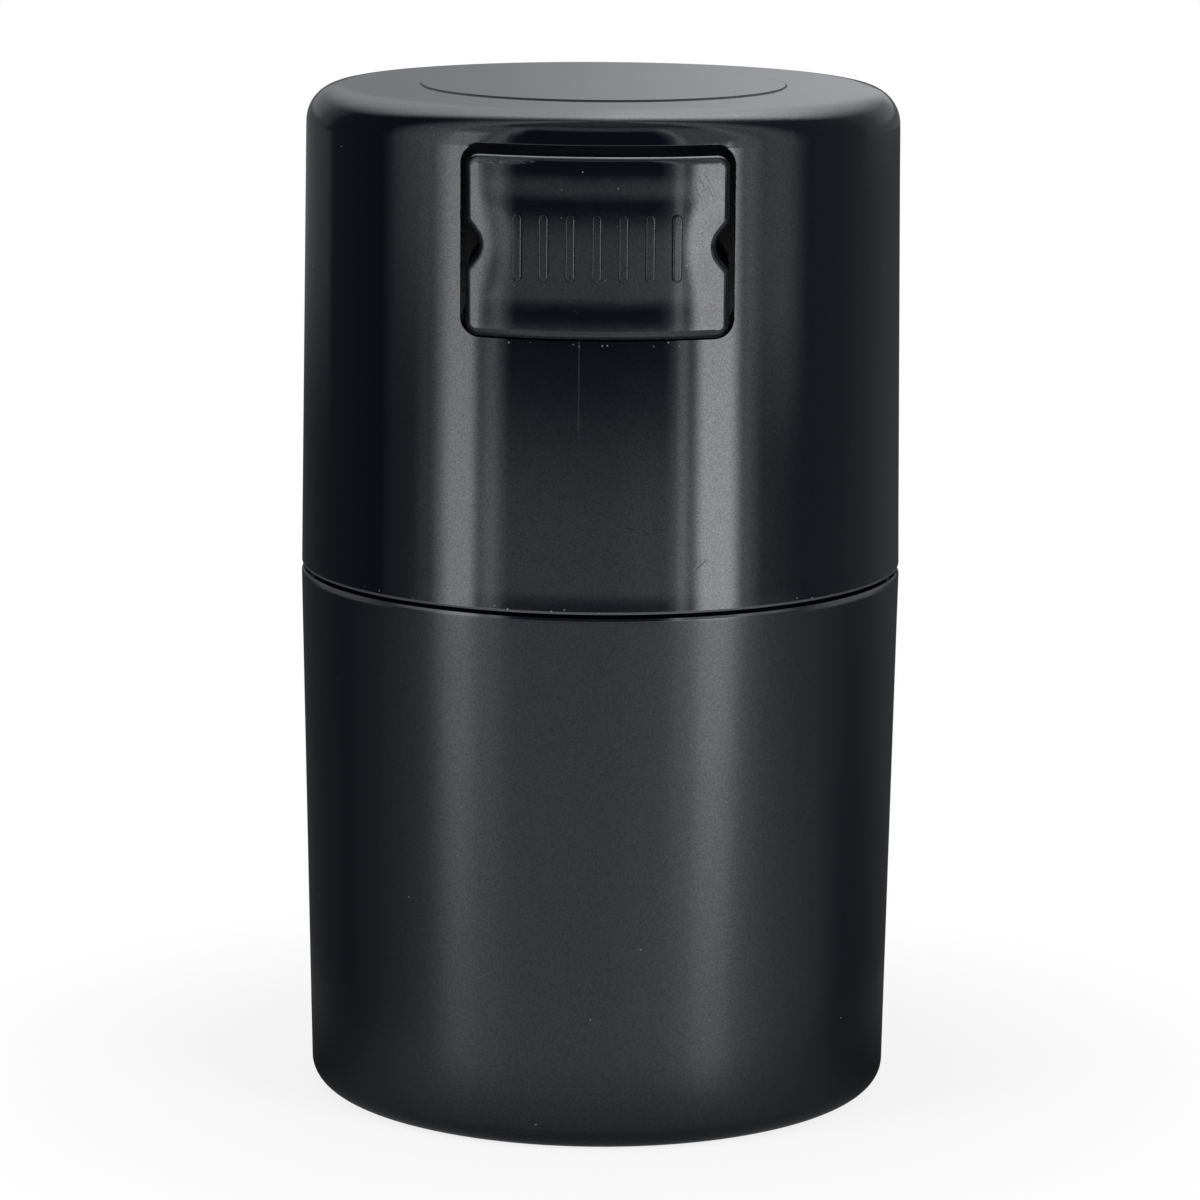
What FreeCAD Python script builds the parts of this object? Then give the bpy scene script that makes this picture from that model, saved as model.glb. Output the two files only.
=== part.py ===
import FreeCAD, Part
import math
import os

Vector = FreeCAD.Vector

# Vacuum canister in millimetres. It stands on z = 0 and its button faces -Y.
# A reach is a distance from the canister's axis towards the front, so y = -reach.

# Outer form
rim_radius = 31.0            # cap and base where they meet
cap_taper = 0.65             # the cap's side leans in by this from rim to top
base_taper = 0.95            # the base's side leans in by this from rim to ground
seam_height = 55.1           # where the cap rests on the base
top_height = 104.45
top_edge_radius = 3.7
base_edge_radius = 2.2
cap_rim_bevel_height = 0.22
cap_rim_bevel_width = 0.09
platform_radius = 18.65      # low round platform on the cap's top
platform_rise = 0.12

# Base shell
shell_rim_swell = 0.04       # the base's rim stands this far outside the cap's
shell_rim_bevel_height = 0.5
shell_rim_bevel_width = 0.18
seam_gap = 0.45              # open groove under the cap's rim
seam_groove_depth = 0.95
seam_groove_slope = 0.45     # the groove's inner wall leans in by this, up to the land
shell_wall = 2.0
shell_floor = 2.0
shell_corner_radius = 2.0
foot_ring_width = 3.0
foot_recess_depth = 0.8
foot_slope_width = 0.8

# Inner cup
cup_gap = 1.2                # air space between cup and shell at the bottom
cup_wall = 2.3
cup_floor = 2.0
cup_base_edge_radius = 3.0
cup_corner_radius = 5.0
neck_gap = 0.875             # between the neck's top and the cap's wall
neck_wall = 2.4
neck_edge_radius = 0.6
neck_top_gap = 0.65          # between the neck's top and the underside of the button's pocket
flange_height = 5.0
flange_drop = 0.3            # the flange ends this far under the base's rim
flange_foot_radius = 0.5
fit_clearance = 0.05

# Neck seal
groove_depth = 1.1
groove_height = 4.0
groove_below_top = 1.5
seal_play = 0.1
seal_gap = 0.15              # free ring to cap wall
seal_lip_height = 1.3
seal_lip_radius = 0.5
seal_valley_depth = 0.7

# Cap shell
cap_wall = 2.0
cap_roof = 2.2
cap_corner_radius = 2.0
cap_lead_in = 0.3

# Press button
button_width = 25.7
button_height = 17.9
button_face_radius = 29.0    # of its curve, tighter than the cap's
button_corner_radius = 1.3
button_proud = 1.5
button_edge_radius = 0.9
button_front_wall = 1.8
button_skirt = 1.4
button_travel = 2.0
notch_mouth = 4.6
notch_apex_depth = 1.75      # of the unrounded V; its round bottom ends higher
notch_bottom_radius = 1.8
notch_lip_radius = 1.2

# Button pocket, moulded into the cap's wall as a tray
pocket_head = 3.35           # from the pocket's upper edge to the cap's top
pocket_depth = 8.5           # from the cap's side to the pocket's floor
pocket_corner_radius = 1.9
pocket_wall = 1.8
pocket_lip_radius = 0.15
button_side_gap = 0.55
button_head_gap = 0.8
button_sill_gap = 0.25
button_end_gap = 0.2         # skirt to pocket floor when pressed home

# Grip ribs on the button's face
rib_count = 7
rib_pitch = 2.6
rib_width = 0.95
rib_length = 6.6
rib_rise = 0.35
rib_edge_radius = 0.2

# Valve: stem of the button, vent in the pocket's floor, disc, washer and clip
stem_radius = 2.3
stem_clearance = 0.15
stem_web = 1.1
stem_neck_radius = 1.6
stem_groove_radius = 1.15
stem_tail = 0.8
collar_height = 0.8
bead_land = 1.25             # from the vent's wall to the seat bead
bead_radius = 0.4
seat_gap = 0.1
disc_overlap = 1.1           # of the disc beyond the seat bead
disc_thickness = 1.5
disc_edge_radius = 0.3
washer_radius = 3.4
washer_thickness = 0.6
clip_radius = 2.7
clip_thickness = 0.5
clip_play = 0.1
clip_mouth = 1.9

# Valve spring
spring_radius = 4.3          # centre of the wire
spring_wire = 0.5
spring_turns = 4
spring_end_rise = 0.9        # height in which the wire bends from upright into the coil
spring_end_share = 0.05      # of a turn, taken by that bend
spring_guide_gap = 0.35      # between the coil and the collars inside it
spring_land = 0.85           # of the button's flat seat beyond the coil
spring_boss_height = 0.9
arcs_per_turn = 4
gap_points_per_turn = 40

# Working values
cut_overrun = 2.0
merge_distance = 1e-6
axis_up = Vector(0, 0, 1)
inward = Vector(0, 1, 0)

# Radii of the drafted sides
cap_top_radius = rim_radius - cap_taper
base_radius = rim_radius - base_taper
shell_rim_radius = rim_radius + shell_rim_swell


def between(low, high, share):
    """Value at a share of the way from low to high."""
    return low + (high - low) * share


def shell_radius(height):
    """Outer radius of the drafted base at a height."""
    return between(base_radius, shell_rim_radius, height / seam_height)


def cap_radius(height):
    """Outer radius of the drafted cap at a height."""
    return between(rim_radius, cap_top_radius, (height - seam_height) / (top_height - seam_height))


# Heights, from the ground up
shell_floor_top = foot_recess_depth + shell_floor
cup_floor_top = shell_floor_top + cup_floor
shell_lip_height = seam_height - seam_gap
flange_top = seam_height - flange_drop
flange_bottom = flange_top - flange_height
roof_height = top_height - cap_roof
pocket_top = top_height - pocket_head
pocket_bottom = pocket_top - button_head_gap - button_height - button_sill_gap
button_bottom = pocket_bottom + button_sill_gap
vent_height = button_bottom + button_height / 2
neck_top = pocket_bottom - pocket_wall - neck_top_gap
groove_top = neck_top - groove_below_top
groove_bottom = groove_top - groove_height

# Radii and widths
recess_edge_radius = base_radius - base_edge_radius - foot_ring_width
seam_groove_radius = rim_radius - seam_groove_depth
neck_radius = cap_radius(neck_top) - cap_wall - neck_gap
bore_radius = neck_radius - neck_wall
cup_base_radius = shell_radius(shell_floor_top) - shell_wall - cup_gap
bore_base_radius = cup_base_radius - cup_wall
groove_radius = neck_radius - groove_depth
pocket_half_width = button_width / 2 + button_side_gap
vent_radius = stem_radius + stem_clearance
bead_ring_radius = vent_radius + bead_land + bead_radius
disc_radius = bead_ring_radius + bead_radius + disc_overlap
collar_radius = spring_radius - spring_wire / 2 - spring_guide_gap
spring_boss_radius = spring_radius + spring_wire / 2 + spring_land

# Reaches, from the button's face to the end of its stem
button_face_reach = cap_radius(vent_height) + button_proud
button_axis_reach = button_face_reach - button_face_radius
button_inner_reach = button_face_reach - button_front_wall
spring_seat_reach = button_inner_reach - spring_boss_height
pocket_floor_reach = cap_radius(vent_height) - pocket_depth
pocket_back_reach = pocket_floor_reach - pocket_wall
skirt_reach = pocket_floor_reach + button_travel + button_end_gap
shoulder_reach = pocket_back_reach - bead_radius - seat_gap
disc_back_reach = shoulder_reach - disc_thickness
washer_back_reach = disc_back_reach - washer_thickness
clip_back_reach = washer_back_reach - clip_thickness - clip_play
stem_end_reach = clip_back_reach - stem_tail


# Outlines and simple solids

def corner_arc(before, corner, after):
    """Start, middle and end of the arc that rounds one corner of an outline."""
    tip = Vector(corner[0], corner[1], 0)
    back = (Vector(before[0], before[1], 0) - tip).normalize()
    ahead = (Vector(after[0], after[1], 0) - tip).normalize()
    half_angle = back.getAngle(ahead) / 2
    bisector = (back + ahead).normalize()
    radius = corner[2]
    length = radius / math.tan(half_angle)
    middle = tip + bisector * (radius / math.sin(half_angle) - radius)
    return tip + back * length, middle, tip + ahead * length


def rounded_face(corners, place):
    """Face inside (u, v, radius) corners, joined by lines and tangent arcs."""
    following = corners[1:] + corners[:1]
    arcs = [corner_arc(corners[i - 1], corners[i], following[i]) for i in range(len(corners))]
    edges = []
    for i, (start, middle, end) in enumerate(arcs):
        last_end = arcs[i - 1][2]
        if last_end.distanceToPoint(start) > merge_distance:
            edges.append(Part.LineSegment(place(last_end), place(start)).toShape())
        if corners[i][2] > 0:
            edges.append(Part.Arc(place(start), place(middle), place(end)).toShape())
    return Part.Face(Part.Wire(edges))


def turned(corners):
    """Solid of revolution about the canister's axis from (radius, height, rounding) corners."""
    face = rounded_face(corners, lambda point: Vector(point.x, 0, point.y))
    return face.revolve(Vector(), axis_up, 360)


def front_prism(corners, near_reach, far_reach):
    """Prism of an outline in the front view, from the far reach back to the near one."""
    face = rounded_face(corners, lambda point: Vector(point.x, -far_reach, point.y))
    return face.extrude(inward * (far_reach - near_reach))


def front_rod(radius, near_reach, far_reach):
    """Round rod on the button's axis."""
    return Part.makeCylinder(radius, far_reach - near_reach, Vector(0, -far_reach, vent_height), inward)


def front_ring(radius, hole_radius, near_reach, far_reach):
    """Flat ring on the button's axis."""
    hole = front_rod(hole_radius, near_reach - cut_overrun, far_reach + cut_overrun)
    return front_rod(radius, near_reach, far_reach).cut(hole)


def button_curve(offset):
    """Upright cylinder inside the button's curved face, moved out by an offset."""
    foot = Vector(0, -button_axis_reach, button_bottom - cut_overrun)
    return Part.makeCylinder(button_face_radius + offset, button_height + 2 * cut_overrun, foot, axis_up)


def edge_middle(edge):
    """Point halfway along an edge."""
    return edge.valueAt((edge.FirstParameter + edge.LastParameter) / 2)


def rectangle(half_width, bottom, top, low_radius, high_radius):
    """Corners of an upright rectangle about the middle, rounded below and above."""
    return [
        (-half_width, bottom, low_radius),
        (half_width, bottom, low_radius),
        (half_width, top, high_radius),
        (-half_width, top, high_radius),
    ]


# Container

def make_base_shell():
    """Drafted outer cup on a foot ring. A land inside its lip carries the cap's rim."""
    bevel_foot = shell_lip_height - shell_rim_bevel_height
    return turned([
        (0, foot_recess_depth, 0),
        (recess_edge_radius - foot_slope_width, foot_recess_depth, 0),
        (recess_edge_radius, 0, 0),
        (base_radius, 0, base_edge_radius),
        (shell_radius(bevel_foot), bevel_foot, 0),
        (shell_radius(shell_lip_height) - shell_rim_bevel_width, shell_lip_height, 0),
        (seam_groove_radius, shell_lip_height, 0),
        (seam_groove_radius - seam_groove_slope, seam_height, 0),
        (shell_rim_radius - shell_wall, seam_height, 0),
        (shell_radius(shell_floor_top) - shell_wall, shell_floor_top, shell_corner_radius),
        (0, shell_floor_top, 0),
    ])


def make_inner_cup():
    """Cup for the contents: a flange fills the base's mouth and the neck carries the seal."""
    flange_top_radius = shell_radius(flange_top) - shell_wall - fit_clearance
    flange_low_radius = shell_radius(flange_bottom) - shell_wall - fit_clearance
    flange_slope = flange_low_radius - neck_radius
    return turned([
        (0, shell_floor_top, 0),
        (cup_base_radius, shell_floor_top, cup_base_edge_radius),
        (neck_radius, flange_bottom - flange_slope, 0),
        (flange_low_radius, flange_bottom, 0),
        (flange_top_radius, flange_top, 0),
        (neck_radius, flange_top, flange_foot_radius),
        (neck_radius, groove_bottom, 0),
        (groove_radius, groove_bottom, 0),
        (groove_radius, groove_top, 0),
        (neck_radius, groove_top, 0),
        (neck_radius, neck_top, neck_edge_radius),
        (bore_radius, neck_top, neck_edge_radius),
        (bore_base_radius, cup_floor_top, cup_corner_radius),
        (0, cup_floor_top, 0),
    ])


def make_neck_seal():
    """Silicone ring with two lips towards the cap's wall."""
    inner = groove_radius + fit_clearance
    outer = cap_radius(groove_top) - cap_wall - seal_gap
    bottom = groove_bottom + seal_play
    top = groove_top - seal_play
    return turned([
        (inner, bottom, 0),
        (outer, bottom, seal_lip_radius),
        (outer, bottom + seal_lip_height, seal_lip_radius),
        (outer - seal_valley_depth, (bottom + top) / 2, 0),
        (outer, top - seal_lip_height, seal_lip_radius),
        (outer, top, seal_lip_radius),
        (inner, top, 0),
    ])


# Cap

def cap_outside():
    """Full outer form of the cap: bevelled rim, drafted side, round top edge, low platform."""
    bevel_top = seam_height + cap_rim_bevel_height
    return turned([
        (0, seam_height, 0),
        (rim_radius - cap_rim_bevel_width, seam_height, 0),
        (cap_radius(bevel_top), bevel_top, 0),
        (cap_top_radius, top_height, top_edge_radius),
        (platform_radius + platform_rise, top_height, 0),
        (platform_radius, top_height + platform_rise, 0),
        (0, top_height + platform_rise, 0),
    ])


def cap_hollow():
    """Space inside the cap, with a lead-in at the rim."""
    mouth_radius = rim_radius - cap_wall + cap_lead_in
    lead_height = seam_height + cap_lead_in
    return turned([
        (0, seam_height - cut_overrun, 0),
        (mouth_radius, seam_height - cut_overrun, 0),
        (mouth_radius, seam_height, 0),
        (cap_radius(lead_height) - cap_wall, lead_height, 0),
        (cap_radius(roof_height) - cap_wall, roof_height, cap_corner_radius),
        (0, roof_height, 0),
    ])


def pocket_tray():
    """Block that the pocket is sunk in; it runs up into the roof and out through the wall."""
    corners = rectangle(
        pocket_half_width + pocket_wall,
        pocket_bottom - pocket_wall,
        (roof_height + top_height) / 2,
        pocket_corner_radius + pocket_wall,
        0,
    )
    return front_prism(corners, pocket_back_reach, rim_radius + cut_overrun)


def pocket_cut():
    """Space in front of the pocket's floor."""
    corners = rectangle(
        pocket_half_width, pocket_bottom, pocket_top, pocket_corner_radius, pocket_corner_radius
    )
    return front_prism(corners, pocket_floor_reach, rim_radius + cut_overrun)


def is_pocket_lip(edge):
    """True for an edge where the pocket breaks through the cap's side."""
    middle = edge_middle(edge)
    outside = math.hypot(middle.x, middle.y) > cap_radius(middle.z) - cap_wall / 2
    in_width = abs(middle.x) < pocket_half_width + fit_clearance
    in_height = pocket_bottom - fit_clearance < middle.z < pocket_top + fit_clearance
    return outside and in_width and in_height and middle.y < 0


def make_cap_shell():
    """Cap with its button pocket, vent, guide collar and valve seat."""
    cap = cap_outside().cut(cap_hollow().cut(pocket_tray())).cut(pocket_cut())
    cap = cap.makeFillet(pocket_lip_radius, [edge for edge in cap.Edges if is_pocket_lip(edge)])
    collar = front_rod(collar_radius, pocket_back_reach, pocket_floor_reach + collar_height)
    seat_centre = Vector(0, -pocket_back_reach, vent_height)
    seat = Part.makeTorus(bead_ring_radius, bead_radius, seat_centre, inward)
    vent = front_rod(vent_radius, pocket_back_reach - cut_overrun, pocket_floor_reach + cut_overrun)
    return cap.fuse(collar).fuse(seat).cut(vent).removeSplitter()


# Button

def button_corners(inset):
    """Front outline of the button, moved in by an inset all round, notches included."""
    half_width = button_width / 2 - inset
    low = button_bottom + inset
    high = button_bottom + button_height - inset
    flank_angle = math.atan2(notch_mouth / 2, notch_apex_depth)
    apex = button_width / 2 - notch_apex_depth - inset / math.sin(flank_angle)
    mouth = (half_width - apex) * math.tan(flank_angle)
    corner = max(button_corner_radius - inset, 0)
    lip = max(notch_lip_radius - inset, 0)
    bottom = notch_bottom_radius + inset
    right = [
        (half_width, low, corner),
        (half_width, vent_height - mouth, lip),
        (apex, vent_height, bottom),
        (half_width, vent_height + mouth, lip),
        (half_width, high, corner),
    ]
    left = [(-u, v, radius) for u, v, radius in reversed(right)]
    return right + left


def is_button_front(edge):
    """True for an edge of the button's curved front face."""
    middle = edge_middle(edge)
    radius = math.hypot(middle.x, middle.y + button_axis_reach)
    return abs(radius - button_face_radius) < fit_clearance


def button_body():
    """Hollow button, its face curved and rounded all round."""
    front = rim_radius + button_proud + cut_overrun
    block = front_prism(button_corners(0), skirt_reach, front).common(button_curve(0))
    block = block.makeFillet(button_edge_radius, [edge for edge in block.Edges if is_button_front(edge)])
    hollow = front_prism(button_corners(button_skirt), skirt_reach - cut_overrun, front)
    return block.cut(hollow.common(button_curve(-button_front_wall)))


def grip_rib(place):
    """Upright round-ended bar that follows the button's face, its front edge rounded."""
    half_width = rib_width / 2
    low = vent_height - rib_length / 2
    corners = rectangle(half_width, low, low + rib_length, half_width, half_width)
    corners = [(place + u, v, radius) for u, v, radius in corners]
    bar = front_prism(corners, button_inner_reach, rim_radius + button_proud + cut_overrun)
    bar = bar.common(button_curve(rib_rise))
    front = max(bar.Faces, key=lambda face: -face.CenterOfMass.y)
    return bar.makeFillet(rib_edge_radius, front.OuterWire.Edges)


def grip_ribs():
    """Row of grip ribs across the button's middle."""
    middle = (rib_count - 1) / 2
    return [grip_rib((i - middle) * rib_pitch) for i in range(rib_count)]


def button_stem():
    """Cross-ribbed stem that lets air past, ending in a round neck with the clip's groove."""
    root = button_inner_reach
    guide = front_rod(stem_radius, shoulder_reach, root)
    upright = Part.makeBox(
        stem_web, root - shoulder_reach, 2 * stem_radius,
        Vector(-stem_web / 2, -root, vent_height - stem_radius),
    )
    level = Part.makeBox(
        2 * stem_radius, root - shoulder_reach, stem_web,
        Vector(-stem_radius, -root, vent_height - stem_web / 2),
    )
    cross = guide.common(upright.fuse(level))
    neck = front_rod(stem_neck_radius, washer_back_reach, shoulder_reach)
    groove = front_rod(stem_groove_radius, clip_back_reach, washer_back_reach)
    tail = front_rod(stem_neck_radius, stem_end_reach, clip_back_reach)
    return cross.fuse(neck).fuse(groove).fuse(tail)


def make_press_button():
    """Button with ribs, spring seat and stem in one moulding."""
    wall_middle = button_inner_reach + button_front_wall / 2
    boss = front_rod(spring_boss_radius, spring_seat_reach, wall_middle)
    collar = front_rod(collar_radius, spring_seat_reach - collar_height, spring_seat_reach)
    button = button_body()
    for piece in grip_ribs() + [boss, collar, button_stem()]:
        button = button.fuse(piece)
    return button.removeSplitter()


# Valve stack

def make_valve_disc():
    """Soft disc that closes the vent from inside."""
    disc = front_rod(disc_radius, disc_back_reach, shoulder_reach)
    disc = disc.makeFillet(disc_edge_radius, disc.Edges[:1] + disc.Edges[2:])
    hole_radius = stem_neck_radius + fit_clearance
    return disc.cut(front_rod(hole_radius, disc_back_reach - cut_overrun, shoulder_reach + cut_overrun))


def make_disc_washer():
    """Stiff washer behind the disc."""
    return front_ring(washer_radius, stem_neck_radius + fit_clearance, washer_back_reach, disc_back_reach)


def make_stem_clip():
    """Open snap ring in the stem's groove."""
    ring = front_ring(
        clip_radius, stem_groove_radius + fit_clearance,
        washer_back_reach - clip_thickness, washer_back_reach,
    )
    mouth = Part.makeBox(
        clip_mouth, clip_thickness + 2 * cut_overrun, clip_radius + cut_overrun,
        Vector(-clip_mouth / 2, -washer_back_reach - cut_overrun, vent_height - clip_radius - cut_overrun),
    )
    return ring.cut(mouth)


# Spring

def biarc(start, leaving, end, arriving):
    """Points of two tangent arcs from start to end: middle, joint and middle."""
    chord = end - start
    both = leaving + arriving
    spread = 2 * (1 - leaving.dot(arriving))
    along = chord.dot(both)
    length = (math.sqrt(along * along + spread * chord.dot(chord)) - along) / spread
    first_tip = start + leaving * length
    second_tip = end - arriving * length
    joint = (first_tip + second_tip) / 2
    middles = []
    for from_point, tip, to_point in ((start, first_tip, joint), (joint, second_tip, end)):
        weight = math.cos((tip - from_point).getAngle(to_point - from_point))
        middles.append(((from_point + to_point) / 2 + tip * weight) / (1 + weight))
    return middles[0], joint, middles[1]


def coil_point(turn, reach):
    """Point on the spring's cylinder after a number of turns."""
    angle = 2 * math.pi * turn
    height = vent_height + spring_radius * math.sin(angle)
    return Vector(spring_radius * math.cos(angle), -reach, height)


def spring_stations():
    """Points and directions along the wire, from the pocket's floor to the button."""
    outward = -inward
    coil_start = pocket_floor_reach + spring_wire + spring_end_rise
    coil_end = spring_seat_reach - spring_wire - spring_end_rise
    first = coil_point(-spring_end_share, pocket_floor_reach + spring_wire)
    last = coil_point(spring_turns + spring_end_share, spring_seat_reach - spring_wire)
    stations = [(first, outward)]
    for step in range(spring_turns * arcs_per_turn + 1):
        share = step / (spring_turns * arcs_per_turn)
        angle = 2 * math.pi * spring_turns * share
        round_length = 2 * math.pi * spring_turns * spring_radius
        direction = Vector(-math.sin(angle), 0, math.cos(angle)) * round_length
        direction = (direction + outward * (coil_end - coil_start)).normalize()
        stations.append((coil_point(spring_turns * share, between(coil_start, coil_end, share)), direction))
    return stations + [(last, outward)]


def spring_path():
    """Wire path: a short upright end, arcs round the coil, a short upright end."""
    stations = spring_stations()
    foot = stations[0][0] + inward * spring_wire
    head = stations[-1][0] - inward * spring_wire
    edges = [Part.LineSegment(foot, stations[0][0]).toShape()]
    for (start, leaving), (end, arriving) in zip(stations, stations[1:]):
        first_middle, joint, second_middle = biarc(start, leaving, end, arriving)
        edges.append(Part.Arc(start, first_middle, joint).toShape())
        edges.append(Part.Arc(joint, second_middle, end).toShape())
    edges.append(Part.LineSegment(stations[-1][0], head).toShape())
    return Part.Wire(edges), foot


def least_gap(path):
    """Smallest gap between stretches of the wire that lie over half a turn apart."""
    count = spring_turns * gap_points_per_turn
    points = path.discretize(count)
    apart = gap_points_per_turn // 2
    gaps = [
        points[i].distanceToPoint(points[j])
        for i in range(count) for j in range(i + apart, count)
    ]
    return min(gaps) - spring_wire


def make_valve_spring():
    """Compression spring, one unbroken wire."""
    path, foot = spring_path()
    section = Part.Wire(Part.makeCircle(spring_wire / 2, foot, inward))
    spring = path.makePipeShell([section], True, False)
    print("spring: wire length %.2f, least gap to itself %.2f" % (path.Length, least_gap(path)))
    print("spring: volume %.3f, section times length %.3f"
          % (spring.Volume, math.pi * spring_wire ** 2 / 4 * path.Length))
    return spring


def main():
    parts = {
        "base_shell": make_base_shell(),
        "inner_cup": make_inner_cup(),
        "neck_seal": make_neck_seal(),
        "cap_shell": make_cap_shell(),
        "press_button": make_press_button(),
        "valve_disc": make_valve_disc(),
        "disc_washer": make_disc_washer(),
        "stem_clip": make_stem_clip(),
        "valve_spring": make_valve_spring(),
    }
    os.makedirs("parts", exist_ok=True)
    for name, shape in parts.items():
        print("%s: valid %s, solids %d, volume %.2f"
              % (name, shape.isValid(), len(shape.Solids), shape.Volume))
        shape.exportStep("parts/" + name + ".step")


main()
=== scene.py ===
# %% [markdown]
# A black canister is a lesson in reflections. Its plastic has almost no colour of its own, so what
# the eye sees is gloss: two tall highlights, dark flanks and a pale top. The solids come finished
# from the CAD model and stay where they are. This file gives them finishes, makes the soft and
# wound pieces that CAD keeps simple, and sets up the camera and the light.

import math

import bmesh
import bpy
from mathutils import Matrix, Vector


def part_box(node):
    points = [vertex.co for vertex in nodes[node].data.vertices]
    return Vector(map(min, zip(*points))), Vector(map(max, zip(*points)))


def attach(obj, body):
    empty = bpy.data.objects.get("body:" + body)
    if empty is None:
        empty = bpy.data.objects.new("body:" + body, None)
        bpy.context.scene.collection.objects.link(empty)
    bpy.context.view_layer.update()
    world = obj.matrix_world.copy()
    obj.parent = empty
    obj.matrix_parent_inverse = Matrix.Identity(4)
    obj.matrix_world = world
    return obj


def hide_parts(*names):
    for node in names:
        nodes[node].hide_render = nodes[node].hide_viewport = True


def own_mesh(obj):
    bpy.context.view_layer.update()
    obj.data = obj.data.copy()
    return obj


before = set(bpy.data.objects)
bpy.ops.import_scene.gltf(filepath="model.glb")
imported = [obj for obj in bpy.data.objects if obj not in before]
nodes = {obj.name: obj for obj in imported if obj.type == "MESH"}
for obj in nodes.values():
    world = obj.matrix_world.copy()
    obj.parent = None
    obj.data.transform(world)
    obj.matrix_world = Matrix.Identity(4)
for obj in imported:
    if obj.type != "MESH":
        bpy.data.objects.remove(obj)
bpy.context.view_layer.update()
mm = 0.001
print("nodes:", ", ".join(sorted(nodes)))

# %% [markdown]
# The camera comes first, because every finish is judged through it. The photograph looks slightly
# down from the front with a long lens: the rims are flat ellipses and the sides nearly parallel.
# A camera placed by distance, height and tilt says this more plainly than one aimed at a point.

# %% Camera
camera_distance = 536 * mm             # from the canister's axis, along the ground
camera_height = 152.4 * mm
camera_bearing = math.radians(0.97)    # a little to the right of the button
camera_tilt = math.radians(10.74)      # down
camera_roll = 0.007                    # radians
lens_length = 157.0                    # millimetres, on a 36 mm wide sensor


def from_front(bearing, distance, height):
    """Point at a bearing from the button's side (right is positive), a distance and a height."""
    return Vector((distance * math.sin(bearing), -distance * math.cos(bearing), height))


lens = bpy.data.cameras.new("camera")
lens.lens = lens_length
camera = bpy.data.objects.new("camera", lens)
camera.matrix_world = (
    Matrix.Translation(from_front(camera_bearing, camera_distance, camera_height))
    @ Matrix.Rotation(camera_bearing, 4, "Z")
    @ Matrix.Rotation(math.pi / 2 - camera_tilt, 4, "X")
    @ Matrix.Rotation(camera_roll, 4, "Z")
)
scene = bpy.context.scene
scene.collection.objects.link(camera)
scene.camera = camera
scene.view_settings.view_transform = "Standard"
print("camera at", [round(c, 4) for c in camera.location])

# %% [markdown]
# Shader trees are made of many small nodes. A few helpers keep them readable: one wires the inputs
# of a node, one adds a node, two do arithmetic, two turn a value into a soft step or a soft band,
# and two blend values or colours.

# %% Node helpers
def wire(tree, node, inputs):
    """Sets inputs of a node. Each is a number, a colour, or a socket or node to link."""
    for key, value in inputs.items():
        if isinstance(value, bpy.types.Node):
            value = value.outputs[0]
        if isinstance(value, bpy.types.NodeSocket):
            tree.links.new(value, node.inputs[key])
        else:
            node.inputs[key].default_value = value


def add(tree, kind, inputs=None, **settings):
    """New shader node with its settings and inputs."""
    made = tree.nodes.new("ShaderNode" + kind)
    for name, value in settings.items():
        setattr(made, name, value)
    wire(tree, made, inputs or {})
    return made


def sums(tree, operation, *values):
    """Arithmetic node on one to three values."""
    return add(tree, "Math", dict(enumerate(values)), operation=operation)


def total(tree, operation, values):
    """All values joined by one operation."""
    joined = values[0]
    for value in values[1:]:
        joined = sums(tree, operation, joined, value)
    return joined


def step(tree, value, start, end):
    """0 before start, 1 after end, smooth between. Start may be the larger."""
    inputs = {"Value": value, "From Min": start, "From Max": end}
    return add(tree, "MapRange", inputs, interpolation_type="SMOOTHSTEP")


def band(tree, value, rise, fall):
    """1 between two soft edges, each given as (0 here, 1 here)."""
    return sums(tree, "MULTIPLY", step(tree, value, *rise), step(tree, value, *fall))


def mix(tree, share, low, high):
    """Value between low and high."""
    return add(tree, "Mix", {0: share, 2: low, 3: high})


def mix_colour(tree, share, low, high):
    """Colour between low and high, each three numbers or a socket."""
    low, high = [c if isinstance(c, bpy.types.NodeSocket) else (*c, 1) for c in (low, high)]
    return add(tree, "Mix", {0: share, 6: low, 7: high}, data_type="RGBA").outputs[2]


print("node helpers ready")

# %% [markdown]
# Gloss black mirrors the studio, so the studio is drawn in the world. It could be built of lamps and
# cards, but soft steps in a direction's bearing and elevation are easier to tune and have no hard
# edges. The light overhead is the exception: it hangs level, so the direction is followed to the
# plane of the light, where its outline is a long strip with a round front end.

# %% Directions in the studio
sheet_middle = 1.75          # how far behind its round front end is centred, if it hangs 1 high
sheet_edge = (1.76, 1.4)     # its soft edge, away from the middle line
sheet_fade = (1.7, 0.6)      # and its slower fade to both sides
least_height = 0.001         # keeps level directions from dividing by zero


def view_direction(tree):
    """Parts of a mirrored direction, its bearing from the front and its elevation, in degrees."""
    direction = add(tree, "TexCoord").outputs["Generated"]
    ray = add(tree, "SeparateXYZ", {0: direction})
    forward = sums(tree, "MULTIPLY", ray.outputs["Y"], -1.0)
    bearing = sums(tree, "DEGREES", sums(tree, "ARCTAN2", ray.outputs["X"], forward))
    elevation = sums(tree, "DEGREES", sums(tree, "ARCSINE", ray.outputs["Z"]))
    return ray, bearing, elevation


def overhead_sheet(tree, ray):
    """1 on the long light above, found where the direction meets its plane."""
    height = sums(tree, "MAXIMUM", ray.outputs["Z"], least_height)
    across = sums(tree, "DIVIDE", ray.outputs["X"], height)
    behind = sums(tree, "SUBTRACT", sums(tree, "DIVIDE", ray.outputs["Y"], height), sheet_middle)
    place = add(tree, "CombineXYZ", {"X": across, "Y": sums(tree, "MINIMUM", behind, 0.0)})
    away = add(tree, "VectorMath", {0: place}, operation="LENGTH")
    fade = step(tree, sums(tree, "ABSOLUTE", across), *sheet_fade)
    return sums(tree, "MULTIPLY", step(tree, away.outputs["Value"], *sheet_edge), fade)


print("studio directions ready")

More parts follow.
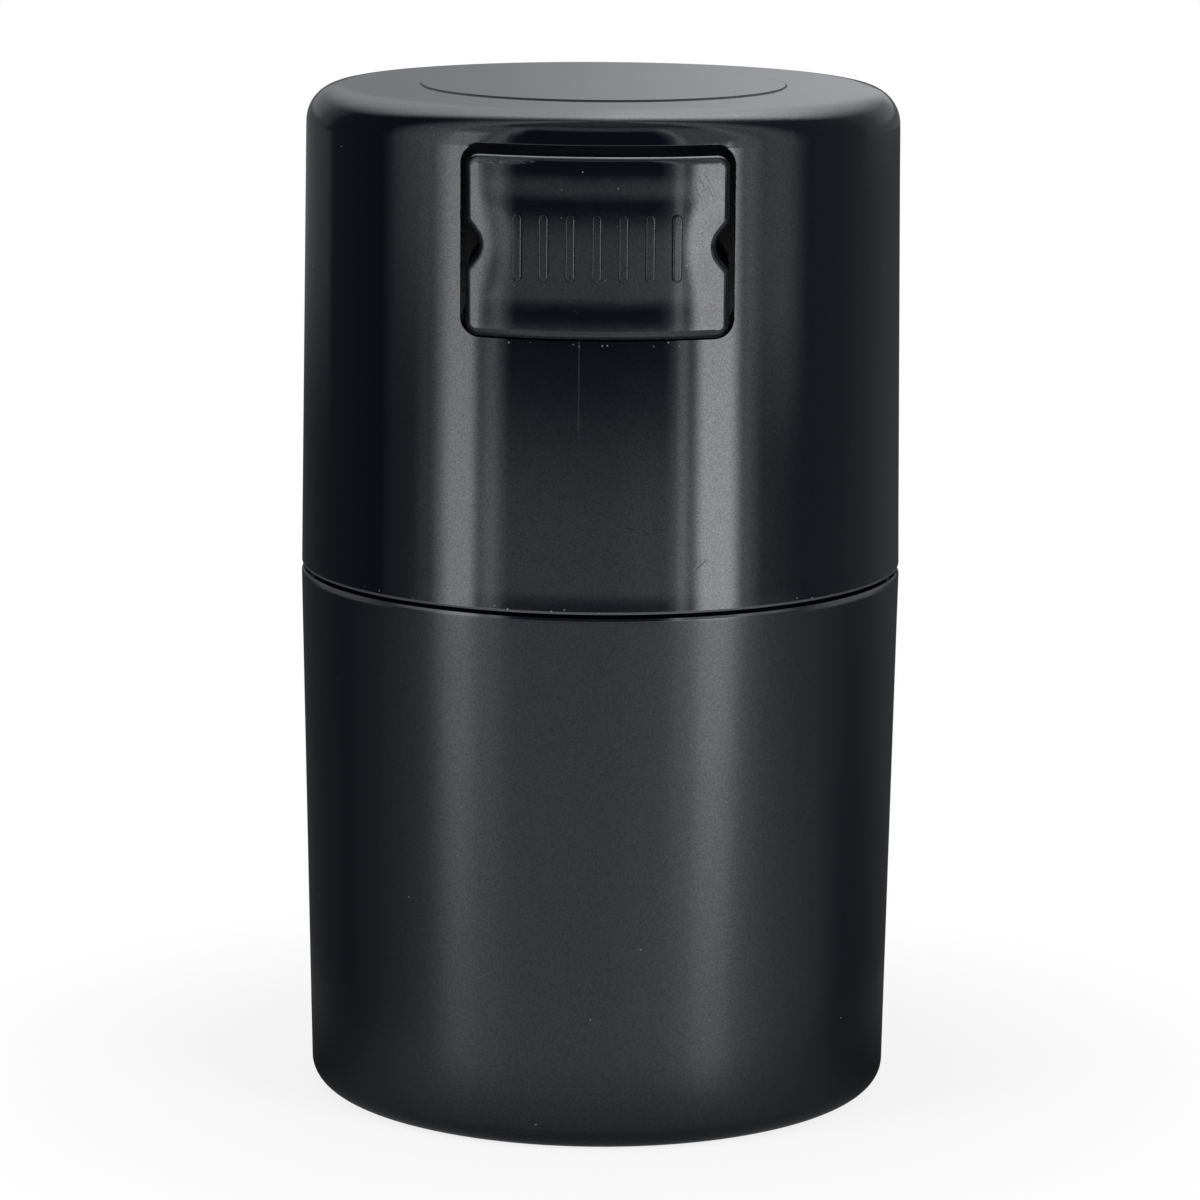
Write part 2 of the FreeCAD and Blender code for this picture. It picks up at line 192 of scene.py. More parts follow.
# %% [markdown]
# The studio has a pale table in front, two tall soft boxes with their frames, dim walls at the sides,
# a pale wall behind and the long light above it. Each part has a level and the masks that bound it,
# and the levels add up. Bearings count from the button's side, and right is positive.

# %% Parts of the studio
dim_level = 0.052
sheet_full = 72.0            # elevation at which the long light is at its brightest
sheet_climb = 1.75           # power of its rise up to there


def studio_parts(tree):
    """Each part of the studio as its level and its masks."""
    ray, bearing, elevation = view_direction(tree)
    sideways = ray.outputs["X"]
    turn = sums(tree, "ABSOLUTE", bearing)

    def height(start, end):
        """Soft step in elevation."""
        return step(tree, elevation, start, end)

    def heights(rise, fall):
        """Soft band in elevation."""
        return band(tree, elevation, rise, fall)

    def bearings(rise, fall):
        """Soft band in bearing."""
        return band(tree, bearing, rise, fall)

    front = step(tree, turn, 88, 35)
    behind = step(tree, turn, 128, 152)
    table_edge = height(-6.5, -8.6)
    side_edge = height(-9, -12.5)
    tall = heights((-19, -10), (62, 48))
    hot = heights((-17, -7), (3, -5.5))
    above = height(1, 5)
    left_box = bearings((-68, -57), (-45.5, -51))
    right_box = bearings((35.2, 41), (57, 50))
    to_right = band(tree, sideways, (-0.07, 0.04), (0.38, 0.12))
    sheet = overhead_sheet(tree, ray)
    climb = add(tree, "MapRange", {"Value": elevation, "From Max": sheet_full})
    climb = sums(tree, "POWER", climb, sheet_climb)
    return {
        "table": (0.68, [front, table_edge]),
        "table right": (0.17, [front, table_edge, step(tree, bearing, 3, 18)]),
        "table near": (0.15, [step(tree, turn, 115, 45), height(-10, -14)]),
        "table left side": (0.1, [side_edge, bearings((-118, -85), (-52, -66))]),
        "table right side": (0.2, [side_edge, bearings((52, 66), (118, 85))]),
        "table right flank": (0.16, [height(-12, -14.5), bearings((54, 64), (118, 78))]),
        "left box": (1.4, [left_box, heights((-19, -10), (40, 28))]),
        "left box middle": (1.3, [left_box, hot]),
        "left box edge": (0.36, [height(-11, -8.5), bearings((-76, -69), (-61, -66))]),
        "left frame": (0.84, [tall, bearings((-66, -56), (-33, -41))]),
        "left strip": (0.29, [tall, bearings((-45, -42.5), (-37.5, -41))]),
        "right box": (3.05, [right_box, heights((-19, -10), (20, 6))]),
        "right box middle": (1.65, [right_box, hot]),
        "right frame": (0.82, [tall, bearings((24, 33), (66, 56))]),
        "right strip": (0.7, [tall, bearings((28.5, 31.5), (35, 32.5))]),
        "left glow": (0.64, [height(-8, -4), bearings((-93, -74), (-56, -64))]),
        "right glow": (0.74, [height(-8.3, -6), bearings((53, 60), (88, 72))]),
        "left fringe": (0.1, [tall, bearings((-93, -84), (-69, -76))]),
        "front strip": (0.5, [step(tree, turn, 60, 25), heights((50, 55), (66, 61))]),
        "left corner": (0.1, [height(-8.8, -6), bearings((-179, -172), (-125, -132))]),
        "right corner": (0.08, [height(-5.8, -4.4), bearings((117, 127), (179, 172))]),
        "right wall": (0.1, [height(-16, -9), bearings((60, 80), (175, 130))]),
        "back wall": (0.19, [behind, above]),
        "back wall right": (0.29, [behind, above, to_right]),
        "sheet": (3.55, [sheet, climb]),
        "sheet middle": (0.95, [sheet, climb, step(tree, sideways, -0.12, 0.05)]),
        "sheet right": (1.0, [sheet, step(tree, sideways, 0.1, 0.35), height(35, 60)]),
        "ceiling": (0.4, [height(45, 85)]),
    }


def studio_level(tree):
    """Brightness of the studio in any direction."""
    parts = studio_parts(tree).values()
    shares = [total(tree, "MULTIPLY", [level] + masks) for level, masks in parts]
    return total(tree, "ADD", [dim_level] + shares)


print("studio parts ready")

# %% [markdown]
# A world may look different to different rays. Here only mirrored rays see the studio, in a slightly
# blue daylight. Straight views see plain white, and other rays a gentle fill.

# %% Studio surround
fill_level = 0.55
daylight_tint = (0.985, 0.995, 1.04)
world = bpy.data.worlds.new("studio")
world.use_nodes = True
world.cycles.sampling_method = "NONE"
tree = world.node_tree
path = add(tree, "LightPath")
mirrored = path.outputs["Is Glossy Ray"]
straight = sums(tree, "MAXIMUM", path.outputs["Is Camera Ray"], path.outputs["Is Transmission Ray"])
strength = mix(tree, straight, mix(tree, mirrored, fill_level, studio_level(tree)), 1.0)
tint = mix_colour(tree, mirrored, (1, 1, 1), daylight_tint)
wire(tree, tree.nodes["Background"], {"Color": tint, "Strength": strength})
scene.world = world
print("studio surround:", len(tree.nodes), "nodes")

# %% [markdown]
# Two soft lamps stand where the surround shows its soft boxes. They light the floor and give the
# canister its shadow. The mirrored boxes are already drawn, so mirrored rays don't see the lamps.

# %% Lamps
lamp_distance = 550 * mm
lamp_low = 20 * mm
lamp_high = 520 * mm


def soft_lamp(name, bearing, spread, radiance):
    """Upright area lamp that covers a spread of bearings in degrees."""
    data = bpy.data.lights.new(name, "AREA")
    data.shape = "RECTANGLE"
    data.size = 2 * lamp_distance * math.tan(math.radians(spread / 2))
    data.size_y = lamp_high - lamp_low
    data.energy = radiance * math.pi * data.size * data.size_y
    lamp = bpy.data.objects.new(name, data)
    turn = math.radians(bearing)
    lamp.matrix_world = (
        Matrix.Translation(from_front(turn, lamp_distance, (lamp_low + lamp_high) / 2))
        @ Matrix.Rotation(turn, 4, "Z")
        @ Matrix.Rotation(math.pi / 2, 4, "X")
    )
    lamp.visible_camera = False
    lamp.visible_glossy = False
    scene.collection.objects.link(lamp)
    print(f"{name}: {data.size:.3f} x {data.size_y:.3f} m, {data.energy:.2f} W")


soft_lamp("lamp_left", bearing=-55, spread=24, radiance=4.5)
soft_lamp("lamp_right", bearing=46, spread=26, radiance=5.5)

# %% [markdown]
# The floor is a wide pale sheet. To straight views it is white by itself, and a share of plain
# shading near the canister lets the soft contact shadow show. Mirrored rays see only the part at the
# foot, which glows with painted light and shade: dark next to the canister, brighter at the front.
# Further out they see the table of the surround.

# %% Floor
floor_radius = 4.0
floor_segments = 96
floor_colour = (0.9, 0.9, 0.9, 1)
shadow_share = 0.2
shadow_reach = (82 * mm, 36 * mm)     # no shading, full shading
foot_reach = (11 * mm, 67 * mm)       # painted shade: dark to mirrored rays here, as bright as the table here
foot_level = 0.85
foot_turn = (90, 28)                  # painted light: the front of the foot glows brighter
foot_side_share = 0.1                 # and its sides a little
mirror_reach = (72 * mm, 45 * mm)     # not mirrored, fully mirrored


def floor_finish():
    """White to straight views, plain shading near the canister, and a painted glow at the foot for
    mirrored rays, dark next to the canister.
    """
    material = bpy.data.materials.new("floor_white")
    material.use_nodes = True
    tree = material.node_tree
    tree.nodes.clear()
    place = add(tree, "TexCoord").outputs["Object"]
    reach = add(tree, "VectorMath", {0: place}, operation="LENGTH").outputs["Value"]
    axes = add(tree, "SeparateXYZ", {0: place})
    forward = sums(tree, "MULTIPLY", axes.outputs["Y"], -1.0)
    turn = sums(tree, "ABSOLUTE", sums(tree, "ARCTAN2", axes.outputs["X"], forward))
    path = add(tree, "LightPath")
    plain = add(tree, "BsdfDiffuse", {"Color": floor_colour})
    white = add(tree, "Emission", {"Strength": 1.0})
    shaded = sums(tree, "MULTIPLY", step(tree, reach, *shadow_reach), shadow_share)
    unshaded = sums(tree, "SUBTRACT", 1.0, shaded)
    white_share = sums(tree, "MULTIPLY", path.outputs["Is Camera Ray"], unshaded)
    straight = add(tree, "MixShader", {0: white_share, 1: plain, 2: white})
    # Painted light and shade for mirrored rays: the foot glows, dark next to the canister and brighter at
    # its front.
    lit = mix(tree, step(tree, sums(tree, "DEGREES", turn), *foot_turn), foot_side_share, 1.0)
    painted_foot_light = total(tree, "MULTIPLY", [step(tree, reach, *foot_reach), lit, foot_level])
    foot = add(tree, "Emission", {"Strength": painted_foot_light})
    clear = add(tree, "BsdfTransparent")
    mirrored = add(tree, "MixShader", {0: step(tree, reach, *mirror_reach), 1: clear, 2: foot})
    seen = add(tree, "MixShader", {0: path.outputs["Is Glossy Ray"], 1: straight, 2: mirrored})
    add(tree, "OutputMaterial", {"Surface": seen})
    return material


floor_form = bmesh.new()
bmesh.ops.create_circle(floor_form, cap_ends=True, segments=floor_segments, radius=floor_radius)
floor_mesh = bpy.data.meshes.new("floor")
floor_form.to_mesh(floor_mesh)
floor_form.free()
floor = bpy.data.objects.new("floor", floor_mesh)
floor_mesh.materials.append(floor_finish())
scene.collection.objects.link(floor)
print("floor radius", floor_radius)

# %% [markdown]
# Every finish below works in millimetres of the piece itself, so its grain keeps its size and moves
# with the piece. These helpers start a finish and give it what moulded plastic needs: soft noise,
# noise as a height, and bumps whose height is also in millimetres.

# %% Finish helpers
def new_finish(name):
    """Material, its tree, its main shader, and the place on the piece in millimetres."""
    material = bpy.data.materials.new(name)
    material.use_nodes = True
    tree = material.node_tree
    metres = add(tree, "TexCoord").outputs["Object"]
    place = add(tree, "VectorMath", {0: metres, "Scale": 1 / mm}, operation="SCALE").outputs["Vector"]
    return material, tree, tree.nodes["Principled BSDF"], place


def noise(tree, place, size, detail=2.0, stretch=(1, 1, 1)):
    """Soft noise between 0 and 1 with grains of a size, longer where stretch is over 1."""
    shrink = tuple(1 / share for share in stretch)
    place = add(tree, "VectorMath", {0: place, 1: shrink}, operation="MULTIPLY")
    return add(tree, "TexNoise", {"Vector": place, "Scale": 1 / size, "Detail": detail})


def ripple(tree, place, size, rise, detail=2.0, stretch=(1, 1, 1)):
    """Noise as a height, up to a rise in millimetres."""
    return sums(tree, "MULTIPLY", noise(tree, place, size, detail, stretch), rise)


def bump(tree, heights, **over):
    """Surface normal for the sum of heights in millimetres, over the mesh's own normal or another."""
    height = total(tree, "ADD", heights)
    return add(tree, "Bump", {"Strength": 1.0, "Distance": mm, "Height": height, **over})


def raised(tree, place, height):
    """Place counted from a height on the piece."""
    return add(tree, "VectorMath", {0: place, 1: (0, 0, height)}, operation="SUBTRACT").outputs[0]


def wear(node, material):
    """Gives a CAD node its finish in every slot."""
    for slot in nodes[node].material_slots:
        slot.material = material


print("finish helpers ready")

# %% [markdown]
# Use leaves thin scratches and specks of dust. They could be painted on an image, but a mask that is
# worked out from the place on the piece stays sharp from near and far. Each helper gives a mask that
# is 1 on the marks, and a finish can use it for height, gloss and colour alike.

# %% Marks of use
dust_colour = (0.2, 0.2, 0.21)
painted_edge_highlight = (0.045, 0.046, 0.049)     # painted highlight: a pale grey on the edges of the rims
scratched_roughness = 0.3


def scratch(tree, place, start, end, width):
    """1 on a thin straight scratch between two (x, z) points, seen from the front."""
    length = math.dist(start, end)
    fade_in = 0.3 * length
    fade_out = 0.6 * length
    core = 0.3 * width
    run = ((end[0] - start[0]) / length, 0, (end[1] - start[1]) / length)
    side = (-run[2], 0, run[0])
    origin = (start[0], 0, start[1])
    offset = add(tree, "VectorMath", {0: place, 1: origin}, operation="SUBTRACT")
    along = add(tree, "VectorMath", {0: offset, 1: run}, operation="DOT_PRODUCT").outputs["Value"]
    across = add(tree, "VectorMath", {0: offset, 1: side}, operation="DOT_PRODUCT").outputs["Value"]
    ends = band(tree, along, (0, fade_in), (length, fade_out))
    return sums(tree, "MULTIPLY", ends, step(tree, sums(tree, "ABSOLUTE", across), width, core))


def scratches(tree, place, lines):
    """1 on every one of the scratches."""
    return total(tree, "MAXIMUM", [scratch(tree, place, *line) for line in lines])


def specks(tree, place, spacing, size, share):
    """1 on scattered round specks. Only a share of the places has one."""
    core = 0.4 * size
    cells = add(tree, "TexVoronoi", {"Vector": place, "Scale": 1 / spacing})
    dots = step(tree, cells.outputs["Distance"], size / spacing, core / spacing)
    chance = add(tree, "SeparateXYZ", {0: cells.outputs["Color"]}).outputs["X"]
    return sums(tree, "MULTIPLY", dots, step(tree, chance, 1 - share, 1.01 - share))


print("marks ready")

# %% [markdown]
# The cap's wall is a true cone, but its triangles are long, and their normals are bent next to the
# pocket. On gloss black that shows as crooked highlights. The mesh could be cut finer, but it belongs
# to the CAD model, so the finish works out the cone's own normal instead, and the mirrored lines run
# straight. The cone is measured on the mesh: its widest places near the rim and near the top.

# %% Cap wall
cap_low, cap_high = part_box("cap_shell")
rim_z = cap_low[2] / mm
cap_top = cap_high[2] / mm
wall_top = cap_top - 3.7               # where the rounding of the top edge begins
wall_ends = [(rim_z + 0.2, rim_z + 0.25), (wall_top, wall_top - 0.1)]
wall_skin = (-0.16, -0.13)             # outside the cone by this: not the wall, the wall


def widest(node, low, high):
    """Largest radius of a node between two heights, and the height where it is, in millimetres."""
    points = [v.co / mm for v in nodes[node].data.vertices]
    return max((math.hypot(p.x, p.y), p.z) for p in points if low < p.z < high)


foot_radius, foot_height = widest("cap_shell", rim_z + 0.1, rim_z + 1)
shoulder_radius, shoulder_height = widest("cap_shell", cap_top - 5, cap_top - 4)
wall_slope = (shoulder_radius - foot_radius) / (shoulder_height - foot_height)


def cap_wall(tree, place, z):
    """Distance from the axis, distance outside the cap's wall, and the wall's own normal."""
    flat = add(tree, "VectorMath", {0: place, 1: (1, 1, 0)}, operation="MULTIPLY")
    reach = add(tree, "VectorMath", {0: flat}, operation="LENGTH").outputs["Value"]
    wall = sums(tree, "MULTIPLY_ADD", z, wall_slope, foot_radius - wall_slope * foot_height)
    outside = sums(tree, "SUBTRACT", reach, wall)
    outward = add(tree, "VectorMath", {0: flat}, operation="NORMALIZE")
    tilted = add(tree, "VectorMath", {0: outward, 1: (0, 0, -wall_slope)}, operation="ADD")
    spaces = {"vector_type": "NORMAL", "convert_from": "OBJECT", "convert_to": "WORLD"}
    turned = add(tree, "VectorTransform", {0: tilted}, **spaces)
    on_wall = sums(tree, "MULTIPLY", step(tree, outside, *wall_skin), band(tree, z, *wall_ends))
    plain = add(tree, "NewGeometry").outputs["Normal"]
    normal = add(tree, "Mix", {0: on_wall, 4: plain, 5: turned}, data_type="VECTOR").outputs[1]
    return reach, outside, normal


print(f"cap wall: radius {foot_radius:.2f} mm at the rim, {shoulder_radius:.2f} mm at the shoulder")

# %% [markdown]
# A moulding shows how it was made and used. Plastic that flowed round the pocket met again below it
# and left a faint weld line. Handling has left light scuffs, and dust has settled on the pocket's sill
# and on the rim.

# %% Cap marks
button_low, button_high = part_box("press_button")
sill_z = button_low[2] / mm
lintel_z = button_high[2] / mm
sill_half_width = 12.6
sill_blur = 0.5
sill_span = [(sill_z - 0.9, sill_z - 0.6), (sill_z + 0.2, sill_z)]
rim_dust_span = (rim_z + 0.9, rim_z + 0.2)
weld_x = -1.7
weld_half_width = (0.06, 0.01)         # no weld beyond the first, all of it within the second
weld_span = [(sill_z - 14.5, sill_z - 8), (sill_z, sill_z - 0.5)]
cap_scuffs = [   # from, to, width in mm; x and height above the rim
    ((11.2, 5.4), (9.5, 4.0), 0.08), ((8.7, 4.3), (9.6, 3.3), 0.07), ((10.1, 5.3), (9.4, 4.5), 0.06),
    ((2.9, 8.7), (4.0, 8.5), 0.07), ((4.6, 8.5), (5.3, 8.0), 0.07), ((5.7, 8.6), (6.8, 8.4), 0.07),
]


def weld_line(tree, x, z, front):
    """1 on the line where the plastic met again below the pocket."""
    away = sums(tree, "ABSOLUTE", sums(tree, "SUBTRACT", x, weld_x))
    masks = [front, band(tree, z, *weld_span), step(tree, away, *weld_half_width)]
    return total(tree, "MULTIPLY", masks)


def cap_dust(tree, place, x, z, front):
    """1 on specks of dust: many on the pocket's sill and the rim, few elsewhere."""
    away = sums(tree, "ABSOLUTE", x)
    width = step(tree, away, sill_half_width + sill_blur, sill_half_width - sill_blur)
    sill = total(tree, "MULTIPLY", [front, band(tree, z, *sill_span), width])
    ledges = sums(tree, "MAXIMUM", sill, step(tree, z, *rim_dust_span))
    many = specks(tree, place, spacing=0.7, size=0.11, share=0.5)
    few = specks(tree, place, spacing=3.2, size=0.09, share=0.25)
    return sums(tree, "MAXIMUM", sums(tree, "MULTIPLY", many, ledges), few)


print(f"cap marks: pocket sill at {sill_z:.2f} mm, {len(cap_scuffs)} scuffs")

# %% [markdown]
# The cap is injection moulded in a polished tool. The gloss is good but not perfect: the wall swims a
# little where the plastic shrank, and the last two millimetres flare towards the rim. A fine film of
# dust mottles the wall more than the top. The inside of the pocket above the button is painted a
# lighter grey, as painted light in its shade. Grime dulls the step round the platform on top, and
# the lower edge of the rim has a painted highlight in pale grey.

# %% Cap gloss
gloss_black = (0.0009, 0.0016, 0.0038)
# Painted light: a lighter grey inside the pocket, where shade falls.
pocket_painted_light = (0.065, 0.069, 0.085)
pocket_span = [(lintel_z - 1, lintel_z), (lintel_z + 1.1, lintel_z + 0.9)]
pocket_skin = (-0.5, -0.9)             # outside the wall by this: not in the pocket, in it
# Painted highlight: the lower edge of the rim is given a pale grey.
rim_highlight_span = (rim_z + 0.3, rim_z + 0.2)
rim_highlight_skin = (-0.4, -0.3)
flare_span = (rim_z + 2.5, rim_z - 1.9)
flare_rise = 0.0587
weld_depth = 0.012
scuff_depth = 0.006
scuff_share = 0.35
platform_edge = 18.7                   # radius of the step round the low platform
grime_half_width = (0.14, 0.08)
grime_span = (cap_top - 0.5, cap_top - 0.4)
grime_roughness = 0.4
grime_gloss = 0.2
cap_roughness = (0.045, 0.075)
cap_dust_roughness = 0.45
film_grain = 0.17
film_gloss = (0.2, 0.8)
wiped_span = (cap_top - 1, cap_top - 0.4)
wiped_share = 0.65
wiped_gloss = 0.5


def cap_finish():
    """Moulded gloss with flow, flare, weld line, scuffs and dust, with painted light in the pocket and a
    painted highlight on the rim.
    """
    material, tree, shader, place = new_finish("cap_gloss")
    axes = add(tree, "SeparateXYZ", {0: place})
    x = axes.outputs["X"]
    z = axes.outputs["Z"]
    front = step(tree, axes.outputs["Y"], 1, -1)     # the half with the button
    reach, outside, normal = cap_wall(tree, place, z)
    flare = sums(tree, "MULTIPLY", step(tree, z, *flare_span), flare_rise)
    swim = ripple(tree, place, size=9, rise=0.007)
    peel = ripple(tree, place, size=1.1, rise=0.0007)
    weld = sums(tree, "MULTIPLY", weld_line(tree, x, z, front), -weld_depth)
    scuffed = sums(tree, "MULTIPLY", scratches(tree, raised(tree, place, rim_z), cap_scuffs), front)
    scuffs = sums(tree, "MULTIPLY", scuffed, -scuff_depth)

    dust = cap_dust(tree, place, x, z, front)
    edge = sums(tree, "ABSOLUTE", sums(tree, "SUBTRACT", reach, platform_edge))
    grime = sums(tree, "MULTIPLY", step(tree, edge, *grime_half_width), step(tree, z, *grime_span))
    dulled = sums(tree, "MULTIPLY", scuffed, scuff_share)
    roughness = mix(tree, noise(tree, place, size=11, detail=3.0), *cap_roughness)
    roughness = mix(tree, dulled, roughness, scratched_roughness)
    roughness = mix(tree, dust, roughness, cap_dust_roughness)
    film = mix(tree, noise(tree, place, film_grain), *film_gloss)
    wiped = sums(tree, "MULTIPLY", step(tree, z, *wiped_span), wiped_share)
    film = mix(tree, wiped, film, wiped_gloss)

    # Painted light in the pocket: a lighter grey in the shade above the button.
    pocket_masks = [front, step(tree, outside, *pocket_skin), band(tree, z, *pocket_span)]
    in_pocket = total(tree, "MULTIPLY", pocket_masks)
    # Painted highlight: a pale grey on the rim's lower edge, for the light line that edge catches.
    edge_highlight = sums(tree, "MULTIPLY", step(tree, z, *rim_highlight_span), step(tree, outside, *rim_highlight_skin))
    colour = mix_colour(tree, in_pocket, gloss_black, pocket_painted_light)
    colour = mix_colour(tree, edge_highlight, colour, painted_edge_highlight)
    wire(tree, shader, {
        "Normal": bump(tree, [flare, swim, peel, weld, scuffs], Normal=normal),
        "Roughness": mix(tree, grime, roughness, grime_roughness),
        "Specular IOR Level": mix(tree, grime, film, grime_gloss),
        "Base Color": mix_colour(tree, dust, colour, dust_colour),
    })
    return material


wear("cap_shell", cap_finish())
print(f"cap: rim at {rim_z:.2f} mm, top at {cap_top:.2f} mm")

# %% [markdown]
# The button is the most handled part. Its face is polished and sinks a little over the ribs and the
# wall behind it, which bends the mirrored table into soft level bands. Three gentle rises in height
# make them, and the face is also dished a little towards the two notches. All of it is about a tenth
# of a millimetre, which is easier to tune as a bump than in the mesh. Fine scratches cross the upper
# right corner.

# %% Button polish
face_sinks = [   # from, to, rise in mm; heights above the button's foot
    (13.4, 16.4, 0.030), (2.6, 12.8, 0.100), (0.9, 4.2, -0.024),
]
dish_reach = 5.5
dish_depth = 0.12
scratch_depth = 0.003
scratch_share = 0.5
button_roughness = (0.04, 0.075)
button_dust_roughness = 0.4
button_scratches = [   # from, to, width in mm; x and height above the button's foot
    ((9.6, 16.3), (11.0, 13.6), 0.035), ((10.2, 16.5), (11.4, 14.2), 0.03),
    ((9.2, 15.4), (10.3, 13.2), 0.035), ((10.4, 15.6), (11.7, 12.8), 0.03),
    ((8.8, 14.2), (9.9, 12.2), 0.035), ((9.9, 14.4), (11.1, 14.9), 0.03),
    ((-11.2, 4.2), (-9.9, 3.2), 0.03), ((-2.6, 4.1), (-1.5, 3.8), 0.05),
    ((-2.2, 3.0), (-1.7, 2.5), 0.04),
]


def notch_dish(tree, place, side):
    """1 at the notch of one side, falling to 0 a few millimetres away."""
    notch = (side * button_high[0] / mm, 0, (button_high[2] - button_low[2]) / mm / 2)
    flat = add(tree, "VectorMath", {0: place, 1: (1, 0, 1)}, operation="MULTIPLY")
    away = add(tree, "VectorMath", {0: flat, 1: notch}, operation="DISTANCE")
    return step(tree, away.outputs["Value"], dish_reach, 0.0)


def button_finish():
    """Polished plastic with sink bands, dished notches, scratches and dust."""
    material, tree, shader, place = new_finish("button_polish")
    from_foot = raised(tree, place, sill_z)
    z = add(tree, "SeparateXYZ", {0: from_foot}).outputs["Z"]
    sinks = [sums(tree, "MULTIPLY", step(tree, z, low, high), rise) for low, high, rise in face_sinks]
    notches = [notch_dish(tree, from_foot, side) for side in (-1, 1)]
    dishes = [sums(tree, "MULTIPLY", notch, -dish_depth) for notch in notches]
    swim = ripple(tree, place, size=4, rise=0.006)
    peel = ripple(tree, place, size=0.5, rise=0.0004)
    scratched = scratches(tree, from_foot, button_scratches)
    grooves = sums(tree, "MULTIPLY", scratched, -scratch_depth)

    dust = specks(tree, place, spacing=1.1, size=0.08, share=0.3)
    dulled = sums(tree, "MULTIPLY", scratched, scratch_share)
    roughness = mix(tree, noise(tree, place, size=6, detail=3.0), *button_roughness)
    roughness = mix(tree, dulled, roughness, scratched_roughness)
    wire(tree, shader, {
        "Normal": bump(tree, sinks + dishes + [swim, peel, grooves]),
        "Roughness": mix(tree, dust, roughness, button_dust_roughness),
        "Specular IOR Level": mix(tree, noise(tree, place, film_grain), *film_gloss),
        "Base Color": mix_colour(tree, dust, gloss_black, dust_colour),
    })
    return material


wear("press_button", button_finish())
print(f"button: {len(face_sinks)} sink bands, {len(button_scratches)} scratches")

# %% [markdown]
# The base comes from a tool with a fine spark-eroded grain, so its highlights are wide and soft. The
# grain is a bump a third of a millimetre wide, and the gloss drifts a little over the wall. The cup
# inside has the same finish, with faint lines along the draw where it left its core. The tool is
# polished where each piece ends, so the lips shine, and the base's lip has a painted highlight in pale
# grey at both sides.

# %% Satin plastic
base_black = (0.0018, 0.0026, 0.005)
cup_black = (0.0036, 0.0044, 0.0066)
base_lip = rim_z - 0.7
cup_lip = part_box("inner_cup")[1][2] / mm - 0.6
lip_blend = 0.25                       # height over which the wall eases into the lip
lip_start = 0.05                       # and over which it becomes polished
lip_roughness = 0.09
lip_gloss = 1.0
gloss_drift = 0.03
satin_dust_roughness = 0.6
satin_film_grain = 0.2
satin_film_gloss = (0.25, 0.75)
highlight_sides = [(19, 25), (30, 27.5)]    # distances from the middle between which the lip has a painted highlight
highlight_below = (0.4, 0.1)                # and heights below and above the lip
highlight_above = (0.24, 0.22)


def satin_finish(name, colour, roughness, lines, lip, ease, highlight_share):
    """Satin moulding with fine grain, drifting gloss, lines along the draw, a polished lip and a painted
    highlight on the lip's sides.

    Ease is a rise in height by which the wall leads into the lip. The last argument is the share of the
    painted highlight, a pale grey on the lip at both sides.
    """
    material, tree, shader, place = new_finish(name)
    axes = add(tree, "SeparateXYZ", {0: place})
    z = axes.outputs["Z"]
    lead = {"Value": z, "From Min": lip - lip_blend, "From Max": lip, "To Max": ease}
    eased = add(tree, "MapRange", lead)
    grain = ripple(tree, place, size=0.35, rise=0.0026, detail=3.0)
    swim = ripple(tree, place, size=10, rise=0.015)
    draw = ripple(tree, place, size=0.6, rise=lines, stretch=(1, 1, 40))

    dust = specks(tree, place, spacing=2.6, size=0.09, share=0.3)
    polished = step(tree, z, lip - lip_start, lip)
    smears = noise(tree, place, size=13, detail=3.0)
    rough = mix(tree, smears, roughness - gloss_drift, roughness + gloss_drift)
    rough = mix(tree, polished, rough, lip_roughness)
    film = mix(tree, noise(tree, place, satin_film_grain), *satin_film_gloss)
    # Painted highlight: a pale grey on the base's lip at both sides, for the light that the lip mirrors
    # there.
    at_sides = band(tree, sums(tree, "ABSOLUTE", axes.outputs["X"]), *highlight_sides)
    edge = band(tree, z, [lip - drop for drop in highlight_below], [lip + rise for rise in highlight_above])
    edge_highlight = total(tree, "MULTIPLY", [at_sides, edge, highlight_share])
    highlighted = mix_colour(tree, edge_highlight, colour, painted_edge_highlight)
    wire(tree, shader, {
        "Normal": bump(tree, [grain, swim, draw, eased]),
        "Roughness": mix(tree, dust, rough, satin_dust_roughness),
        "Specular IOR Level": mix(tree, polished, film, lip_gloss),
        "Base Color": mix_colour(tree, dust, highlighted, dust_colour),
    })
    return material


wear("base_shell", satin_finish(
    "base_satin", base_black, roughness=0.19, lines=0.0, lip=base_lip, ease=0.09, highlight_share=1.0,
))
wear("inner_cup", satin_finish(
    "cup_satin", cup_black, roughness=0.28, lines=0.0012, lip=cup_lip, ease=0.0, highlight_share=0.0,
))
print("satin: base_shell, inner_cup")

# %% [markdown]
# Two pieces are moulded silicone: the ring on the neck and the disc of the valve. CAD keeps their
# outlines, and here they get soft edges and the marks of their tools. Both are turned forms, so one
# helper rounds a closed outline by cutting its corners again and again, and another turns it.

# %% Turned pieces
def soften(outline, rounds=3):
    """Closed outline with its corners cut at a quarter of each side, several times."""
    for _ in range(rounds):
        following = outline[1:] + outline[:1]
        outline = [
            tuple(a + (b - a) * share for a, b in zip(point, after))
            for point, after in zip(outline, following) for share in (0.25, 0.75)
        ]
    return outline


def smooth_mesh(name, points, faces):
    """Smooth mesh whose faces all look outwards."""
    mesh = bpy.data.meshes.new(name)
    mesh.from_pydata(points, [], faces)
    made = bmesh.new()
    made.from_mesh(mesh)
    bmesh.ops.recalc_face_normals(made, faces=made.faces)
    made.to_mesh(mesh)
    made.free()
    mesh.shade_smooth()
    return mesh


